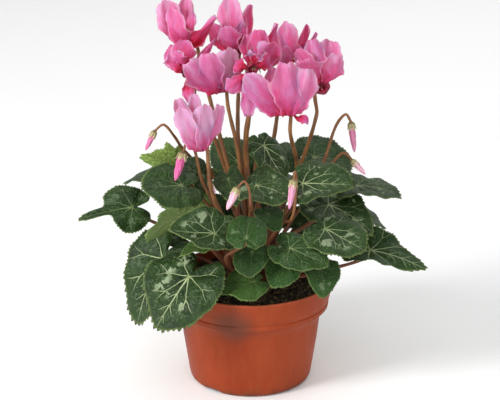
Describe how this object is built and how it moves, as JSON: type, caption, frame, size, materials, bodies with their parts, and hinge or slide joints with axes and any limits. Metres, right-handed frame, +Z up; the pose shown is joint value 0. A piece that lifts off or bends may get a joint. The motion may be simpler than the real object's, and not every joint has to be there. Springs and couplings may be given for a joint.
{
  "type": "potted cyclamen",
  "caption": "Potted cyclamen in bloom: a round tapered plastic nursery pot with a stepped rim, soil, a tuber, marbled heart-shaped leaves, upswept pink flowers and nodding buds.",
  "frame": {"origin": "centre of the pot's flat bottom, on the surface it stands on", "axes": "+Z up along the pot's axis, -Y the front as pictured, +X to the right of the front"},
  "size_m": [0.2495, 0.1813, 0.2911],
  "materials": {
    "pot_plastic": "matte terracotta-coloured plastic",
    "soil": "dark loose potting soil",
    "stalk": "smooth fleshy red-brown plant stalk",
    "leaf": "satin dark green leaf with pale marbling",
    "petal": "soft satin pink petal",
    "bud": "soft satin pink rolled bud"
  },
  "bodies": {
    "root": {"pot": "pot_plastic", "soil": "soil", "tuber_with_stalks": "stalk", "leaf_front_left_big": "leaf", "leaf_left_hanging": "leaf", "leaf_far_left": "leaf", "leaf_left_dark": "leaf", "leaf_left_top_small": "leaf", "leaf_left_back": "leaf", "leaf_left_centre": "leaf", "leaf_left_low": "leaf", "leaf_left_underside": "leaf", "leaf_behind_flower": "leaf", "leaf_centre": "leaf", "leaf_centre_dark": "leaf", "leaf_centre_upper": "leaf", "leaf_under_centre": "leaf", "leaf_top_centre": "leaf", "leaf_top_left": "leaf", "leaf_top_right_dark": "leaf", "leaf_top_right_back": "leaf", "leaf_right_upper": "leaf", "leaf_right_far": "leaf", "leaf_right_mid": "leaf", "leaf_right_big": "leaf", "leaf_right_back_low": "leaf", "leaf_far_right_big": "leaf", "leaf_right_underside": "leaf", "leaf_front_right": "leaf", "leaf_front_low_centre": "leaf", "leaf_front_low_right": "leaf", "leaf_front_low_left": "leaf", "leaf_soil_front": "leaf", "leaf_back_low_1": "leaf", "leaf_back_low_2": "leaf", "leaf_back_low_3": "leaf", "leaf_back_low_4": "leaf", "leaf_back_low_5": "leaf", "leaf_back_low_6": "leaf", "leaf_back_high_1": "leaf", "leaf_back_high_2": "leaf", "leaf_back_high_3": "leaf", "leaf_back_mid": "leaf", "flower_far_left": "petal", "flower_left_back": "petal", "flower_left_centre": "petal", "flower_top": "petal", "flower_upper_right": "petal", "flower_centre": "petal", "flower_right_low": "petal", "flower_right_back": "petal", "flower_right": "petal", "flower_front_low": "petal", "bud_far_left": "bud", "bud_left_pink": "bud", "bud_green": "bud", "bud_pale": "bud", "bud_centre_right": "bud", "bud_right_top": "bud", "bud_far_right": "bud"}
  },
  "joints": []
}
